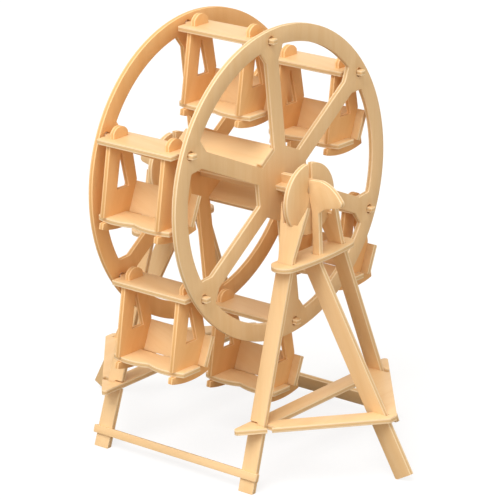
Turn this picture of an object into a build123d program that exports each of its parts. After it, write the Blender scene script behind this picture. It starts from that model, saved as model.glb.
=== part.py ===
"""Table-top ferris wheel toy of interlocking plywood pieces, turned by hand.

X runs along the axle, the seats face -Y and +Z is up.  The origin lies on the ground
under the middle of the wheel.  All sizes are in millimetres and degrees.
"""
from build123d import *
from math import cos, hypot, radians, sin, tan
import os

# Stock and fits
ply = 3.0  # thickness of every board
journal_gap = 0.1  # radial gap of the axle journals in the head plates
swing_gap = 0.35  # radial gap of the roof tongues in the rim holes
axle_play = 0.4  # end play of the axle, each side

# Wheel: two spoked discs on a crossed axle
axle_height = 158.0
rim_radius = 90.0
rim_width = 10.0
disc_spacing = 58.0  # between the inner faces of the discs
arms = 6  # spokes, and gondolas
spoke_width = 9.5
flare_width = 5.5  # how far each spoke foot spreads along the rim, each side
flare_length = 8.0
flare_lap = 1.0  # how far it reaches into the rim
hub_flat = 20.6  # wheel centre to a flat of the hexagonal hub
wheel_angle = -4.8  # first spoke, measured from +Z towards +Y
pivot_inset = 6.0  # rim edge to gondola pivot
axle_width = 13.0
journal_width = 4.0
journal_recess = 0.2  # journal end, short of the outer face of the head plate
spacer_width = 16.0
spacer_tab_width = 12.5

# Gondola, measured from its pivot
seat_tilt = 1.0  # a hanging gondola leans back, since its backrest weighs it down
roof_length = 54.0
roof_depth = 21.0
tongue_width = 3.6
tongue_reach = 3.0  # tongue end, past the outer face of the disc
panel_x = 20.0  # middle of each side panel
panel_tab = 11.0
panel_tab_height = 7.7
panel_tab_crown = 3.4  # height of its rounded top
panel_top_front = -8.8
panel_top_back = 7.8
panel_foot_front = -16.8
panel_foot_back = 14.8
panel_elbow = (11.8, -26.0)
panel_foot_height = -47.4
panel_belly = (-2.0, -49.6)
window_top = -7.2
window_base = -27.4
window_front = -4.6
window_back = 5.2
window_tip = 1.4
seat_top = -41.0
seat_length = 52.0
seat_front = -12.0
seat_lobe = 2.6  # how far the two front lobes stand out
seat_back = 2.0
seat_lap = -6.0  # where the seat slots end
back_foot = (4.5, -42.0)
back_lean = 22.7  # from the vertical
back_height = 17.5
back_length = 53.0
back_lap = 8.5  # length of the slots in the backrest

# Tower, one at each end of the axle
head_gap = 16.6  # disc to head plate
head_radius = 20.4
head_drop = 5.05  # head plate centre, below the axle
leg_splay = 19.4  # from the vertical
leg_offset = 10.7  # outer face of a leg at axle height, from the axle
leg_width = 10.2
leg_lean = 4.4  # foot outwards of the head plate
leg_neck = 35.5  # where the leg starts to widen, below the axle
leg_top = 5.7  # tips of the two horns, below the axle
leg_top_width = 18.8
leg_mouth = 16.9  # floor of the opening between the two horns
leg_mouth_width = 9.6
leg_lap = 17.9  # bottom of the slot for the head plate

# Outrigger, the third leg of a tower
stem_offset = 1.8  # head plate to stem
stem_width = 4.6
stem_top = 12.0  # where the stem springs from the head, below the axle
head_seat = 3.6  # where the head leaves the head plate, below the axle
hook_length = 3.2
hook_clearance = 0.8  # over the bearing
hook_height = 6.0  # top of the hook, above the axle
brow = (60.0, 6.6)  # outline of the rounded head, from the axle
cheek = (70.2, 1.4)
nose_top = (73.4, -2.4)
nose = (74.2, -4.6)
nose_bottom = (72.4, -6.4)
chin = (62.0, -9.0)
outrigger_width = 11.5
outrigger_shoulder = 43.4  # inner corner under the upper brace
outrigger_foot = 109.3  # inner edge at the ground
foot_trim = 0.6  # height of the corner cut flat on the ground

# Braces and bars
collar_level = 39.5  # underside of the upper brace, below the axle
collar_wall = 1.6  # inside the splayed legs
collar_rim = 3.4  # outside the outrigger's stem
collar_overhang = 7.1  # rounded ends, past the outer faces of the legs
collar_corner = 5.7  # where an end starts to round, from its tip
collar_shoulder = (2.0, 5.1)  # the same on the outside, from the rim and the tip
collar_clearance = 0.1  # beside each leg
base_level = 124.5  # underside of the base brace, below the axle
base_bar_width = 10.5
base_edge = 0.5  # inner edge of the base brace, past the legs
base_overhang = 16.0  # its pointed ends, past the outer faces of the legs
base_apex_wall = 3.7  # its outer corner, past the outrigger
base_apex_width = 6.0
base_diagonal_width = 11.0
base_tip_round = 2.0
bar_notch = 1.5  # how deep each bar is let into its legs
front_bar_reach = 61.0
front_bar_height = 4.4
front_bar_level = 9.2
rear_bar_reach = 57.0
rear_bar_height = 9.6
rear_bar_level = 9.9

# Places worked out from the sizes above
disc_inner = disc_spacing / 2
disc_outer = disc_inner + ply
rim_inner = rim_radius - rim_width
pivot_radius = rim_radius - pivot_inset
first_arm = 90 - wheel_angle
head_inner = disc_outer + head_gap
head_outer = head_inner + ply
head_middle = head_inner + ply / 2
journal_radius = hypot(journal_width, ply) / 2
bearing_radius = journal_radius + journal_gap
axle_shoulder = head_inner - hook_length - axle_play
journal_end = head_outer - journal_recess
tongue_radius = hypot(tongue_width, ply) / 2
pivot_hole = tongue_radius + swing_gap
tongue_end = disc_outer + tongue_reach
splay_sin = sin(radians(leg_splay))
splay_cos = cos(radians(leg_splay))
splay_tan = tan(radians(leg_splay))
leg_length = axle_height / splay_cos
slant_slot = ply / splay_cos + ply * splay_tan  # room for a level board in a splayed one
stem_inner = head_outer + stem_offset
stem_outer = stem_inner + stem_width
outrigger_slope = (outrigger_foot - outrigger_shoulder) / (axle_height - collar_level)
outrigger_span = outrigger_width * hypot(1, outrigger_slope)  # its width, measured level

leg_face = Plane(origin=(0, -leg_offset, axle_height), x_dir=(1, 0, 0), z_dir=(0, -splay_cos, splay_sin))


def leg_centre(below):
    """X of a leg's middle, this far down the leg from axle height."""
    return head_middle + leg_lean * below / leg_length


def leg_section(below, depth):
    """Y and Z of a point of the front leg, this far down it and this deep in it."""
    y = -leg_offset - below * splay_sin + depth * splay_cos
    return y, axle_height - below * splay_cos - depth * splay_sin


def leg_front_y(level):
    """Y of the front leg's outer face, this far below the axle."""
    return -leg_offset - level * splay_tan


def wheel_plane(angle, radius=0.0):
    """Plane along the axle that faces outwards in a wheel direction, at a radius."""
    facing = (0, sin(radians(angle)), cos(radians(angle)))
    origin = (0, radius * facing[1], axle_height + radius * facing[2])
    return Plane(origin=origin, x_dir=(1, 0, 0), z_dir=facing)


def pivot(arm):
    """Y and Z of a gondola's pivot."""
    angle = radians(wheel_angle + arm * 360 / arms)
    return pivot_radius * sin(angle), axle_height + pivot_radius * cos(angle)


def write(name, piece):
    """Label a finished piece and write it under its name."""
    piece.part.label = name
    export_step(piece.part, f"parts/{name}.step")


def write_mirrored(name, piece, about):
    """Write the mirror image of a piece."""
    with BuildPart() as image:
        mirror(piece.part, about=about)
    write(name, image)


def wheel_disc(inner_face):
    """Spoked disc with its hub, its pivot holes and the crossed slots for the axle."""
    spoke_length = rim_inner - hub_flat + rim_width / 2
    face = Plane(origin=(inner_face, 0, axle_height), x_dir=(0, 1, 0), z_dir=(1, 0, 0))
    with BuildPart() as disc:
        with BuildSketch(face):
            Circle(rim_radius)
            Circle(rim_inner, mode=Mode.SUBTRACT)
            RegularPolygon(hub_flat, 6, major_radius=False, rotation=first_arm)
            with PolarLocations(hub_flat + spoke_length / 2, arms, start_angle=first_arm):
                Rectangle(spoke_length, spoke_width)
            with PolarLocations(rim_inner, arms, start_angle=first_arm):
                Polygon(
                    (-flare_length, -spoke_width / 2),
                    (flare_lap, -spoke_width / 2 - flare_width),
                    (flare_lap, spoke_width / 2 + flare_width),
                    (-flare_length, spoke_width / 2),
                    align=None,
                )
            with PolarLocations(pivot_radius, arms, start_angle=first_arm):
                Circle(pivot_hole, mode=Mode.SUBTRACT)
            Rectangle(axle_width, ply, rotation=first_arm, mode=Mode.SUBTRACT)
            Rectangle(ply, axle_width, rotation=first_arm, mode=Mode.SUBTRACT)
        extrude(amount=ply)
    return disc


def axle_plank(angle, journal_side):
    """Axle plank with one journal, slotted from its other end to the middle."""
    with BuildPart() as plank:
        with BuildSketch(wheel_plane(angle)):
            Rectangle(2 * axle_shoulder, axle_width)
            with Locations((journal_side * journal_end / 2, 0)):
                Rectangle(journal_end, journal_width)
            with Locations((-journal_side * axle_shoulder / 2, 0)):
                Rectangle(axle_shoulder, ply, mode=Mode.SUBTRACT)
        extrude(amount=ply / 2, both=True)
    return plank


def spacer_board(angle):
    """Board between the discs; its end tabs sit on a hub flat, between two spokes."""
    with BuildPart() as board:
        with BuildSketch(wheel_plane(angle, hub_flat)):
            Rectangle(2 * disc_inner, spacer_width)
            Rectangle(2 * disc_outer, spacer_tab_width)
        extrude(amount=ply)
    return board


def hanging_plane(arm):
    """Level plane of a gondola through its pivot; its X runs along the axle."""
    y, z = pivot(arm)
    tilt = radians(seat_tilt)
    return Plane(origin=(0, y, z), x_dir=(1, 0, 0), z_dir=(0, sin(tilt), cos(tilt)))


def gondola_roof(hanging):
    """Roof plate whose end tongues are the pivots; the panel tabs pass through it."""
    with BuildPart() as roof:
        with BuildSketch(hanging.offset(-ply / 2)):
            Rectangle(roof_length, roof_depth)
            Rectangle(2 * tongue_end, tongue_width)
            with Locations((-panel_x, 0), (panel_x, 0)):
                Rectangle(ply, panel_tab, mode=Mode.SUBTRACT)
        extrude(amount=ply)
    return roof


def back_point(along, behind):
    """Y and Z in a gondola, this far up the backrest and this far behind its front."""
    lean = radians(back_lean)
    y = back_foot[0] + along * sin(lean) + behind * cos(lean)
    return y, back_foot[1] + along * cos(lean) - behind * sin(lean)


def gondola_panel(hanging, x):
    """Side panel with its window, its roof tab and the slots for seat and backrest."""
    under_roof = -ply / 2
    tab = panel_tab / 2
    tab_spring = panel_tab_height - panel_tab_crown
    inner_face = hanging.from_local_coords((x - ply / 2, 0, 0))
    side = Plane(origin=inner_face, x_dir=hanging.y_dir, z_dir=hanging.x_dir)
    with BuildPart() as panel:
        with BuildSketch(side):
            with BuildLine():
                Polyline(
                    (-tab, tab_spring),
                    (-tab, under_roof),
                    (panel_top_front, under_roof),
                    (panel_foot_front, panel_foot_height),
                )
                ThreePointArc(
                    (panel_foot_front, panel_foot_height),
                    panel_belly,
                    (panel_foot_back, panel_foot_height),
                )
                Polyline(
                    (panel_foot_back, panel_foot_height),
                    panel_elbow,
                    (panel_top_back, under_roof),
                    (tab, under_roof),
                    (tab, tab_spring),
                )
                ThreePointArc((tab, tab_spring), (0, panel_tab_height), (-tab, tab_spring))
            make_face()
            Polygon(
                (-window_tip / 2, window_top),
                (window_front, window_base),
                (window_back, window_base),
                (window_tip / 2, window_top),
                align=None,
                mode=Mode.SUBTRACT,
            )
            with Locations((seat_lap, seat_top - ply / 2)):
                Rectangle(roof_depth, ply, align=(Align.MAX, Align.CENTER), mode=Mode.SUBTRACT)
            Polygon(
                back_point(back_lap, 0),
                back_point(back_lap + back_height, 0),
                back_point(back_lap + back_height, ply),
                back_point(back_lap, ply),
                align=None,
                mode=Mode.SUBTRACT,
            )
        extrude(amount=ply)
    return panel


def gondola_seat(hanging):
    """Seat with a double-lobed front edge, slotted from behind over the panels."""
    half = seat_length / 2
    middle_lobe = half / 2
    with BuildPart() as seat:
        with BuildSketch(hanging.offset(seat_top - ply)):
            with BuildLine():
                Polyline(
                    (-half, seat_front), (-half, seat_back), (half, seat_back), (half, seat_front)
                )
                ThreePointArc((half, seat_front), (middle_lobe, seat_front - seat_lobe), (0, seat_front))
                ThreePointArc((0, seat_front), (-middle_lobe, seat_front - seat_lobe), (-half, seat_front))
            make_face()
            with Locations((-panel_x, seat_back), (panel_x, seat_back)):
                Rectangle(
                    ply, seat_back - seat_lap, align=(Align.CENTER, Align.MAX), mode=Mode.SUBTRACT
                )
        extrude(amount=ply)
    return seat


def gondola_backrest(hanging):
    """Leaning backrest, slotted from below over the panels."""
    lean = radians(back_lean)
    face = Plane(
        origin=hanging.from_local_coords((0, back_foot[0], back_foot[1])),
        x_dir=hanging.x_dir,
        z_dir=hanging.z_dir * sin(lean) - hanging.y_dir * cos(lean),
    )
    with BuildPart() as backrest:
        with BuildSketch(face):
            Rectangle(back_length, back_height, align=(Align.CENTER, Align.MIN))
            with Locations((-panel_x, 0), (panel_x, 0)):
                Rectangle(ply, back_lap, align=(Align.CENTER, Align.MIN), mode=Mode.SUBTRACT)
        extrude(amount=-ply)
    return backrest


def head_plate():
    """Round head plate with the axle bearing, its entry slot and two leg slots."""
    with BuildPart() as plate:
        with BuildSketch(Plane.YZ.offset(head_inner)):
            with Locations((0, axle_height - head_drop)):
                Circle(head_radius)
            with Locations((0, axle_height)):
                Circle(bearing_radius, mode=Mode.SUBTRACT)
                Rectangle(
                    ply, head_radius, align=(Align.CENTER, Align.MIN), mode=Mode.SUBTRACT
                )
            corners = [
                leg_section(leg_lap, 0),
                leg_section(leg_lap, ply),
                leg_section(leg_lap + head_radius, ply),
                leg_section(leg_lap + head_radius, 0),
            ]
            Polygon(*corners, align=None, mode=Mode.SUBTRACT)
            Polygon(*[(-across, up) for across, up in corners], align=None, mode=Mode.SUBTRACT)
        extrude(amount=ply)
    return plate


def splayed_leg(bar_height, bar_level):
    """Leg with a forked head; a cross bar is let into its outer face near the foot."""
    foot = leg_length + 2 * slant_slot
    half, half_top, half_mouth = leg_width / 2, leg_top_width / 2, leg_mouth_width / 2
    board_place = (base_level - ply / 2) / splay_cos
    notch = board_place - ply * splay_tan / 2
    with BuildPart() as leg:
        with BuildSketch(leg_face):
            Polygon(
                (leg_centre(foot) - half, -foot),
                (leg_centre(foot) + half, -foot),
                (leg_centre(leg_neck) + half, -leg_neck),
                (head_middle + half_top, -leg_top),
                (head_middle + half_mouth, -leg_mouth),
                (head_outer, -leg_mouth),
                (head_outer, -leg_lap),
                (head_inner, -leg_lap),
                (head_inner, -leg_mouth),
                (head_middle - half_mouth, -leg_mouth),
                (head_middle - half_top, -leg_top),
                (leg_centre(leg_neck) - half, -leg_neck),
                align=None,
            )
            with Locations((leg_centre(board_place), -notch)):
                Rectangle(
                    leg_width, slant_slot, align=(Align.MAX, Align.CENTER), mode=Mode.SUBTRACT
                )
        extrude(amount=-ply)
        with BuildSketch(leg_face):
            bar_place = leg_length - bar_level / splay_cos
            with Locations((leg_centre(bar_place), -bar_place)):
                Rectangle(2 * leg_width, bar_height)
        extrude(amount=-bar_notch, mode=Mode.SUBTRACT)
        split(bisect_by=Plane.XY, keep=Keep.TOP)
    return leg


def cross_bar(reach, height, level):
    """Bar that ties the two towers, let halfway into the outer faces of their legs."""
    with BuildPart() as bar:
        with BuildSketch(leg_face.offset(-bar_notch)):
            with Locations((0, -leg_length + level / splay_cos)):
                Rectangle(2 * reach, height)
        extrude(amount=ply)
    return bar


def outrigger_leg():
    """Third leg: a rounded head hooked into the head plate, a stem and a slanted leg."""
    hook_inner = head_inner - hook_length
    hook_bottom = bearing_radius + hook_clearance
    outer_bend = axle_height - collar_level
    outer_bend -= (stem_outer - outrigger_shoulder - outrigger_span) / outrigger_slope
    foot = Vector(outrigger_foot + foot_trim * outrigger_slope, -foot_trim)
    toe = foot + Vector(1, outrigger_slope).normalized() * outrigger_width

    def at(point):
        return point[0], axle_height + point[1]

    with BuildPart() as outrigger:
        with BuildSketch(Plane.XZ):
            with BuildLine():
                Polyline(at((hook_inner, hook_bottom)), at((hook_inner, hook_height)), at(brow))
                ThreePointArc(at(brow), at(cheek), at(nose_top))
                ThreePointArc(at(nose_top), at(nose), at(nose_bottom))
                Polyline(
                    at(nose_bottom),
                    at(chin),
                    at((stem_outer, -stem_top)),
                    (stem_outer, outer_bend),
                    (toe.X, toe.Y),
                    (foot.X, foot.Y),
                    at((outrigger_shoulder, -collar_level)),
                    at((stem_inner, -collar_level)),
                    at((stem_inner, -stem_top)),
                    at((head_outer, -head_seat)),
                    at((head_outer, hook_bottom)),
                    at((hook_inner, hook_bottom)),
                )
            make_face()
        extrude(amount=ply / 2, both=True)
        split(bisect_by=Plane.XY, keep=Keep.TOP)
    return outrigger


def leg_hole(underside, open_width, x_align, mode):
    """Holes for both splayed legs in a level board, as laser-cut square slots."""
    top = underside - ply
    outer_y = leg_front_y(underside)
    inner_y = leg_front_y(top) + ply / splay_cos
    middle = leg_centre((underside - ply / 2) / splay_cos)
    with Locations((middle, (outer_y + inner_y) / 2), (middle, -(outer_y + inner_y) / 2)):
        Rectangle(open_width, inner_y - outer_y, align=(x_align, Align.CENTER), mode=mode)


def upper_brace():
    """Level collar that holds the three legs together under the head plate."""
    middle = leg_centre((collar_level - ply / 2) / splay_cos)
    inner = middle - leg_width / 2 - collar_wall
    rim = stem_outer + collar_rim
    tip = collar_overhang - leg_front_y(collar_level)
    shoulder_x, shoulder_y = rim - collar_shoulder[0], tip - collar_shoulder[1]
    tip_x = (inner + shoulder_x) / 2
    corner = tip - collar_corner
    with BuildPart() as brace:
        with BuildSketch(Plane.XY.offset(axle_height - collar_level)):
            with BuildLine():
                Line((inner, -corner), (inner, corner))
                ThreePointArc((inner, corner), (tip_x, tip), (shoulder_x, shoulder_y))
                ThreePointArc((shoulder_x, shoulder_y), (rim, 0), (shoulder_x, -shoulder_y))
                ThreePointArc((shoulder_x, -shoulder_y), (tip_x, -tip), (inner, -corner))
            make_face()
            leg_hole(collar_level, leg_width + 2 * collar_clearance, Align.CENTER, Mode.SUBTRACT)
            with Locations((head_outer, 0)):
                Rectangle(
                    stem_outer - head_outer,
                    ply,
                    align=(Align.MIN, Align.CENTER),
                    mode=Mode.SUBTRACT,
                )
        extrude(amount=ply)
    return brace


def base_brace():
    """Level triangle near the ground; the outrigger stands in its outer corner."""
    leg_outer = outrigger_foot - outrigger_slope * (axle_height - base_level) + outrigger_span
    apex = leg_outer + base_apex_wall
    apex_half = base_apex_width / 2
    base_inner = leg_centre((base_level - ply / 2) / splay_cos) - leg_width / 2 - base_edge
    horn = base_overhang - leg_front_y(base_level)
    start = Vector(base_inner, -horn)
    side = (Vector(apex, -apex_half) - start).normalized()
    inner = start + Vector(-side.Y, side.X) * base_diagonal_width
    window_x = base_inner + base_bar_width
    window_y = inner.Y + side.Y * (window_x - inner.X) / side.X
    window_apex = inner.X - side.X * inner.Y / side.Y
    with BuildPart() as brace:
        with BuildSketch(Plane.XY.offset(axle_height - base_level)):
            Polygon(
                (base_inner, -horn),
                (apex, -apex_half),
                (apex, apex_half),
                (base_inner, horn),
                align=None,
            )
            fillet(vertices(), radius=base_tip_round)
            Polygon(
                (window_x, window_y),
                (window_apex, 0),
                (window_x, -window_y),
                align=None,
                mode=Mode.SUBTRACT,
            )
            with Locations((leg_outer, 0)):
                Rectangle(
                    leg_outer - window_x, ply, align=(Align.MAX, Align.CENTER), mode=Mode.SUBTRACT
                )
            leg_hole(base_level, leg_width, Align.MIN, Mode.SUBTRACT)
        extrude(amount=ply)
    return brace


os.makedirs("parts", exist_ok=True)

for name, inner_face in (("wheel_disc_right", disc_inner), ("wheel_disc_left", -disc_outer)):
    write(name, wheel_disc(inner_face))
write("axle_plank_upright", axle_plank(wheel_angle + 90, 1))
write("axle_plank_level", axle_plank(wheel_angle, -1))
half_sector = 180 / arms
write("spacer_board_upper", spacer_board(wheel_angle - half_sector))
write("spacer_board_lower", spacer_board(wheel_angle - half_sector + 180))

for arm in range(arms):
    hanging = hanging_plane(arm)
    label = f"gondola_{arm + 1}"
    write(f"{label}_roof", gondola_roof(hanging))
    write(f"{label}_panel_right", gondola_panel(hanging, panel_x))
    write(f"{label}_panel_left", gondola_panel(hanging, -panel_x))
    write(f"{label}_seat", gondola_seat(hanging))
    write(f"{label}_backrest", gondola_backrest(hanging))

front_leg = splayed_leg(front_bar_height, front_bar_level)
rear_leg = splayed_leg(rear_bar_height, rear_bar_level)
with BuildPart() as rear_leg_right:
    mirror(rear_leg.part, about=Plane.XZ)
tower = {
    "head_plate": head_plate(),
    "front_leg": front_leg,
    "rear_leg": rear_leg_right,
    "outrigger_leg": outrigger_leg(),
    "upper_brace": upper_brace(),
    "base_brace": base_brace(),
}
for name, piece in tower.items():
    write(f"{name}_right", piece)
    write_mirrored(f"{name}_left", piece, Plane.YZ)
write("front_bar", cross_bar(front_bar_reach, front_bar_height, front_bar_level))
write_mirrored("rear_bar", cross_bar(rear_bar_reach, rear_bar_height, rear_bar_level), Plane.XZ)
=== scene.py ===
"""Looks of a table-top ferris wheel toy of interlocking plywood boards.

Every board keeps its modelled shape.  It gets softly broken edges and a plywood material
that knows which way the board faces: birch veneer on its two faces, glued plies on its edges.
"""
import math

import bpy
from mathutils import Matrix, Vector

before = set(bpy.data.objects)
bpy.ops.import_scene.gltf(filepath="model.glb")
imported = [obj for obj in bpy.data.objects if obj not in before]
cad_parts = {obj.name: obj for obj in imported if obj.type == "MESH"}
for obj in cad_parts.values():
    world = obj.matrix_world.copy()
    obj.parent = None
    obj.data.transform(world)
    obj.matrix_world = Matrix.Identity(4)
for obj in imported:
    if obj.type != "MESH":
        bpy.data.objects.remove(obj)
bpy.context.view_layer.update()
scene = bpy.context.scene

# Board edges, in metres
EDGE_BREAK = 0.00022  # sanded corners
WELD = 0.000001
SHARP = math.radians(32)
LONGER = 0.0005  # by this much another direction must be longer to be the grain's
GRAIN_TRIES = 36
BUMP = {"Strength": 0.25, "Distance": 0.00012}

# Camera, as fitted to the picture
AZIMUTH = math.radians(41.017)
ELEVATION = math.radians(19.348)
ROLL = math.radians(-1.738)
CAMERA_PLACE = Vector((1.10245, -1.26089, 0.70085))
LENS = 225.415
SENSOR = 36.0
SHIFT = (0.000456, -0.00219)
CLIP_END = 20.0

# Colours, linear
WHITE = (1, 1, 1, 1)
FACE_PALE = (0.850, 0.585, 0.310, 1)
FACE_DEEP = (0.815, 0.535, 0.262, 1)
FACE_FLECK = (0.650, 0.380, 0.155, 1)
EDGE_PALE = (0.930, 0.710, 0.440, 1)
EDGE_CORE = (0.770, 0.505, 0.240, 1)
EDGE_GLUE = (0.420, 0.215, 0.080, 1)
PAINTED_SHADE_ORANGE = (1.0, 0.83, 0.64)  # painted shade: a more orange tint for the gondola side panels and the far disc, which lie in shade
TONE_SPREAD = 0.02  # boards differ this much in lightness

# Patterns: times per millimetre along the grain and across it
WANDER = (0.02, 0.05)
FIGURE = (0.012, 0.16)
FIBRE = (0.05, 2.2)
PORES = (0.22, 4.5)
RIPPLE = 0.3
CRUMB = (1.4, 5.0)  # along the board and through it

# Plies, in millimetres
BOARD_MIDDLE = 1.5
CORE_HALF = 0.55
GLUE_FADE = (0.12, 0.03)
WAVINESS = 0.24
BEND = 9.0

# Light
AMBIENT = 0.34
SHADE_TINT = (1.0, 0.84, 0.64, 1)
SIDE_FROM, SIDE = (0.97, -0.10, 0.22), 0.70
FRONT_FROM, FRONT = (-0.10, -0.95, 0.30), 0.52
KEY_FROM, KEY, KEY_SPREAD = (0.05, -0.46, 0.89), 2.15, 44

# Floor: pale, and nearly white to the camera, where it still shows the shadow
FLOOR_REACH = 3.0
FLOOR_BOUNCE = (0.34, 0.30, 0.25, 1)
FLOOR_SHADE = (0.20, 0.20, 0.20, 1)
FLOOR_GLOW = 0.82


class Graph:
    """Short hand for building a node tree."""

    def __init__(self, tree):
        self.tree = tree

    def add(self, kind, inputs=None, **settings):
        node = self.tree.nodes.new(kind)
        for name, value in settings.items():
            setattr(node, name, value)
        for socket, value in (inputs or {}).items():
            self.feed(node.inputs[socket], value)
        return node

    def feed(self, socket, value):
        if isinstance(value, bpy.types.NodeSocket):
            self.tree.links.new(value, socket)
        else:
            socket.default_value = value

    def math(self, operation, *values):
        node = self.add("ShaderNodeMath", operation=operation)
        for socket, value in zip(node.inputs, values):
            self.feed(socket, value)
        return node.outputs[0]

    def dot(self, a, b):
        node = self.add("ShaderNodeVectorMath", {0: a, 1: b}, operation="DOT_PRODUCT")
        return node.outputs["Value"]

    def combine(self, x, y, z):
        return self.add("ShaderNodeCombineXYZ", {0: x, 1: y, 2: z}).outputs[0]

    def noise(self, vector, detail, roughness=0.5):
        inputs = {"Vector": vector, "Scale": 1.0, "Detail": detail, "Roughness": roughness}
        return self.add("ShaderNodeTexNoise", inputs).outputs["Fac"]

    def ramp(self, value, low, high, out_low=0.0, out_high=1.0):
        node = self.add(
            "ShaderNodeMapRange",
            {0: value, 1: low, 2: high, 3: out_low, 4: out_high},
            interpolation_type="SMOOTHSTEP",
        )
        return node.outputs[0]

    def mix(self, amount, a, b, blend="MIX"):
        node = self.add("ShaderNodeMix", data_type="RGBA", blend_type=blend)
        self.feed(node.inputs["Factor"], amount)
        self.feed(node.inputs[6], a)
        self.feed(node.inputs[7], b)
        return node.outputs[2]

    def mix_number(self, amount, a, b):
        node = self.add("ShaderNodeMix", data_type="FLOAT")
        self.feed(node.inputs["Factor"], amount)
        self.feed(node.inputs[2], a)
        self.feed(node.inputs[3], b)
        return node.outputs[0]


def plywood_group():
    """Colour, roughness and relief of a plywood board from its own directions."""
    tree = bpy.data.node_groups.new("plywood_board", "ShaderNodeTree")
    for name, in_out, kind in (
        ("Facing", "INPUT", "NodeSocketVector"),
        ("Grain", "INPUT", "NodeSocketVector"),
        ("Across", "INPUT", "NodeSocketVector"),
        ("Underside", "INPUT", "NodeSocketFloat"),
        ("Seed", "INPUT", "NodeSocketFloat"),
        ("ToneAndPaintedShade", "INPUT", "NodeSocketVector"),
        ("Color", "OUTPUT", "NodeSocketColor"),
        ("Roughness", "OUTPUT", "NodeSocketFloat"),
        ("Height", "OUTPUT", "NodeSocketFloat"),
    ):
        tree.interface.new_socket(name, in_out=in_out, socket_type=kind)
    g = Graph(tree)
    given = g.add("NodeGroupInput").outputs
    seed = given["Seed"]
    space = g.add("ShaderNodeTexCoord").outputs
    millimetres = g.add(
        "ShaderNodeVectorMath", {0: space["Object"], "Scale": 1000.0}, operation="SCALE"
    ).outputs[0]
    along = g.math("ADD", g.dot(millimetres, given["Grain"]), g.math("MULTIPLY", seed, 37.0))
    across = g.math("ADD", g.dot(millimetres, given["Across"]), g.math("MULTIPLY", seed, 91.0))
    depth = g.math("SUBTRACT", g.dot(millimetres, given["Facing"]), given["Underside"])
    facing = g.math("ABSOLUTE", g.dot(space["Normal"], given["Facing"]))
    on_face = g.ramp(facing, 0.55, 0.85)

    def pattern(times, sideways, detail, roughness=0.5):
        place = g.combine(
            g.math("MULTIPLY", along, times[0]), g.math("MULTIPLY", sideways, times[1]), seed
        )
        return g.noise(place, detail, roughness)

    # Veneer: broad soft figure, fine fibres along the grain, short dark pores
    bent = g.math("ADD", across, g.math("MULTIPLY", pattern(WANDER, across, 2.0), BEND))
    figure = pattern(FIGURE, bent, 4.0, 0.6)
    fibre = pattern(FIBRE, bent, 3.0, 0.65)
    pore = g.ramp(pattern(PORES, bent, 1.0), 0.63, 0.74)
    face = g.mix(g.ramp(figure, 0.32, 0.70), FACE_PALE, FACE_DEEP)
    face = g.mix(g.ramp(fibre, 0.46, 0.78, 0.0, 0.36), face, FACE_DEEP)
    face = g.mix(g.math("MULTIPLY", pore, 0.16), face, FACE_FLECK)

    # Edge: pale outer plies, a darker core, glue lines between them
    ripple_place = g.combine(
        g.math("MULTIPLY", along, RIPPLE), g.math("MULTIPLY", across, RIPPLE), depth
    )
    ripple = g.math("MULTIPLY_ADD", g.noise(ripple_place, 2.0), WAVINESS, -WAVINESS / 2)
    level = g.math("ADD", depth, ripple)
    middle = g.math("ABSOLUTE", g.math("SUBTRACT", level, BOARD_MIDDLE))
    core = g.ramp(middle, CORE_HALF + 0.11, CORE_HALF - 0.11)
    glue = g.ramp(g.math("ABSOLUTE", g.math("SUBTRACT", middle, CORE_HALF)), *GLUE_FADE)
    crumb_place = g.combine(
        g.math("MULTIPLY", along, CRUMB[0]),
        g.math("MULTIPLY", across, CRUMB[0]),
        g.math("MULTIPLY", depth, CRUMB[1]),
    )
    crumb = g.noise(crumb_place, 3.0, 0.7)
    edge = g.mix(core, EDGE_PALE, EDGE_CORE)
    edge = g.mix(g.math("MULTIPLY", glue, 0.46), edge, EDGE_GLUE)
    edge = g.mix(g.ramp(crumb, 0.45, 0.80, 0.0, 0.35), edge, EDGE_CORE)

    # The board's random lightness, times the painted shade tint of the boards that lie in
    # shade
    colour = g.mix(1.0, g.mix(on_face, edge, face), given["ToneAndPaintedShade"], "MULTIPLY")
    rough_face = g.math("MULTIPLY_ADD", fibre, 0.14, 0.36)
    rough_edge = g.math("MULTIPLY_ADD", crumb, 0.14, 0.60)
    relief_face = g.math("MULTIPLY_ADD", pore, -0.6, g.math("MULTIPLY", fibre, 0.5))
    relief_edge = g.math("MULTIPLY_ADD", glue, -0.8, crumb)
    g.add(
        "NodeGroupOutput",
        {
            "Color": colour,
            "Roughness": g.mix_number(on_face, rough_edge, rough_face),
            "Height": g.mix_number(on_face, relief_edge, relief_face),
        },
    )
    return tree


def board_directions(obj):
    """Facing, grain and across directions of a board, and how far out its underside lies."""
    totals = {}
    for polygon in obj.data.polygons:
        normal = polygon.normal
        if max(normal, key=abs) < 0:
            normal = -normal
        key = tuple(round(c, 2) for c in normal)
        area, summed = totals.get(key, (0.0, Vector()))
        totals[key] = (area + polygon.area, summed + normal * polygon.area)
    facing = max(totals.values(), key=lambda total: total[0])[1].normalized()
    points = [v.co for v in obj.data.vertices]
    underside = min(p.dot(facing) for p in points)
    helper = Vector((0, 0, 1)) if abs(facing.z) < 0.9 else Vector((1, 0, 0))
    first = helper.cross(facing).normalized()
    second = facing.cross(first)
    best, grain = 0.0, first
    for step in range(GRAIN_TRIES):
        angle = math.pi * step / GRAIN_TRIES
        direction = first * math.cos(angle) + second * math.sin(angle)
        reach = [p.dot(direction) for p in points]
        if max(reach) - min(reach) > best + LONGER:
            best, grain = max(reach) - min(reach), direction
    return facing, grain, facing.cross(grain), underside


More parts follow.
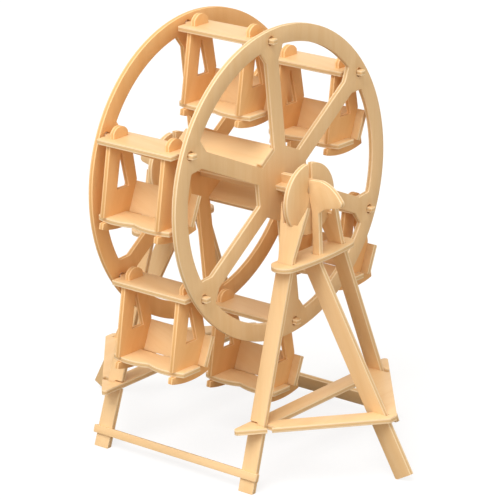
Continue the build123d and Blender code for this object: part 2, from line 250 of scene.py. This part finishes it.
def plywood(name, obj, group, number):
    """Plywood material for one board."""
    facing, grain, across, underside = board_directions(obj)
    if "disc" in name or "head_plate" in name:
        grain, across = across, grain
    material = bpy.data.materials.new(f"plywood_{name}")
    material.use_nodes = True
    g = Graph(material.node_tree)
    shader = material.node_tree.nodes["Principled BSDF"]
    # Painted shade: the gondola side panels and the far disc, which lie in shade, get a more
    # orange tint
    painted_shade = PAINTED_SHADE_ORANGE if "panel" in name or name == "wheel_disc_left" else (1.0, 1.0, 1.0)
    light = 1.0 + TONE_SPREAD * math.sin(number * 2.4)
    board = g.add(
        "ShaderNodeGroup",
        {
            "Facing": facing,
            "Grain": grain,
            "Across": across,
            "Underside": underside * 1000,
            "Seed": number * 1.37 + 0.5,
            "ToneAndPaintedShade": [light * c for c in painted_shade],
        },
        node_tree=group,
    ).outputs
    bump = g.add("ShaderNodeBump", {**BUMP, "Height": board["Height"]})
    g.feed(shader.inputs["Base Color"], board["Color"])
    g.feed(shader.inputs["Roughness"], board["Roughness"])
    g.feed(shader.inputs["Normal"], bump.outputs[0])
    shader.inputs["Specular IOR Level"].default_value = 0.5
    shader.inputs["IOR"].default_value = 1.45
    return material


def shading_group():
    """Geometry nodes that shade a board smooth, but for its sharp edges."""
    tree = bpy.data.node_groups.new("board_shading", "GeometryNodeTree")
    for in_out in ("INPUT", "OUTPUT"):
        tree.interface.new_socket("Geometry", in_out=in_out, socket_type="NodeSocketGeometry")
    g = Graph(tree)
    source = g.add("NodeGroupInput").outputs[0]
    angle = g.add("GeometryNodeInputMeshEdgeAngle").outputs["Unsigned Angle"]
    sharp = g.add("FunctionNodeCompare", {0: angle, 1: SHARP}, operation="GREATER_THAN")
    soft = g.add("FunctionNodeBooleanMath", {0: sharp.outputs[0]}, operation="NOT")
    faces = g.add(
        "GeometryNodeSetShadeSmooth", {0: source, "Shade Smooth": True}, domain="FACE"
    )
    edges = g.add(
        "GeometryNodeSetShadeSmooth",
        {0: faces.outputs[0], "Shade Smooth": soft.outputs[0]},
        domain="EDGE",
    )
    g.add("NodeGroupOutput", {0: edges.outputs[0]})
    return tree


plywood_nodes = plywood_group()
shading_nodes = shading_group()
for number, (name, board) in enumerate(sorted(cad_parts.items())):
    weld = board.modifiers.new("weld", "WELD")
    weld.merge_threshold = WELD
    bevel = board.modifiers.new("broken_edges", "BEVEL")
    bevel.width = EDGE_BREAK
    bevel.segments = 2
    bevel.limit_method = "ANGLE"
    bevel.angle_limit = SHARP
    bevel.use_clamp_overlap = True
    bevel.harden_normals = False
    shade = board.modifiers.new("shading", "NODES")
    shade.node_group = shading_nodes
    material = plywood(name, board, plywood_nodes, number)
    if not board.material_slots:
        board.data.materials.append(material)
    for slot in board.material_slots:
        slot.material = material

# Floor
floor_mesh = bpy.data.meshes.new("floor")
floor_mesh.from_pydata(
    [(x * FLOOR_REACH, y * FLOOR_REACH, 0) for x, y in ((-1, -1), (1, -1), (1, 1), (-1, 1))],
    [],
    [(0, 1, 2, 3)],
)
floor = bpy.data.objects.new("floor", floor_mesh)
scene.collection.objects.link(floor)
floor_material = bpy.data.materials.new("floor")
floor_material.use_nodes = True
floor_material.node_tree.nodes.clear()
f = Graph(floor_material.node_tree)
bounce = f.add("ShaderNodeBsdfDiffuse", {"Color": FLOOR_BOUNCE})
pale = f.add("ShaderNodeBsdfDiffuse", {"Color": FLOOR_SHADE})
glow = f.add("ShaderNodeEmission", {"Color": WHITE, "Strength": FLOOR_GLOW})
shown = f.add("ShaderNodeAddShader", {0: pale.outputs[0], 1: glow.outputs[0]})
seen = f.add("ShaderNodeLightPath").outputs["Is Camera Ray"]
either = f.add("ShaderNodeMixShader", {0: seen, 1: bounce.outputs[0], 2: shown.outputs[0]})
f.add("ShaderNodeOutputMaterial", {"Surface": either.outputs[0]})
floor_mesh.materials.append(floor_material)

# World: wide soft lights at the side and the front, a warm rest, and plain white to the camera
world = bpy.data.worlds.new("studio")
scene.world = world
world.use_nodes = True
w = Graph(world.node_tree)
background = world.node_tree.nodes["Background"]
path = w.add("ShaderNodeLightPath").outputs
seen = path["Is Camera Ray"]
for ray in ("Is Glossy Ray", "Is Transmission Ray"):
    seen = w.math("MAXIMUM", seen, path[ray])
direction = w.add("ShaderNodeTexCoord").outputs["Generated"]
side = w.math("MAXIMUM", w.dot(direction, SIDE_FROM), 0.0)
front = w.math("MAXIMUM", w.dot(direction, FRONT_FROM), 0.0)
soft = w.math("MULTIPLY_ADD", front, FRONT, w.math("MULTIPLY_ADD", side, SIDE, AMBIENT))
w.feed(background.inputs["Strength"], w.math("MAXIMUM", seen, soft))
neutral = w.math("MINIMUM", w.math("ADD", seen, w.math("ADD", side, front)), 1.0)
w.feed(background.inputs["Color"], w.mix(neutral, SHADE_TINT, WHITE))

key_data = bpy.data.lights.new("key", "SUN")
key_data.energy = KEY
key_data.angle = math.radians(KEY_SPREAD)
key = bpy.data.objects.new("key", key_data)
key.rotation_euler = Vector(KEY_FROM).to_track_quat("Z", "Y").to_euler()
scene.collection.objects.link(key)

# Camera
back = Vector(
    (
        math.sin(AZIMUTH) * math.cos(ELEVATION),
        -math.cos(AZIMUTH) * math.cos(ELEVATION),
        math.sin(ELEVATION),
    )
)
level = Vector((math.cos(AZIMUTH), math.sin(AZIMUTH), 0))
right = level * math.cos(ROLL) + back.cross(level) * math.sin(ROLL)
turn = Matrix((right, back.cross(right), back)).transposed().to_4x4()
camera_data = bpy.data.cameras.new("camera")
camera_data.sensor_width = SENSOR
camera_data.lens = LENS
camera_data.shift_x, camera_data.shift_y = SHIFT
camera_data.clip_end = CLIP_END
camera = bpy.data.objects.new("camera", camera_data)
camera.matrix_world = Matrix.Translation(CAMERA_PLACE) @ turn
scene.collection.objects.link(camera)
scene.camera = camera
scene.view_settings.view_transform = "Standard"
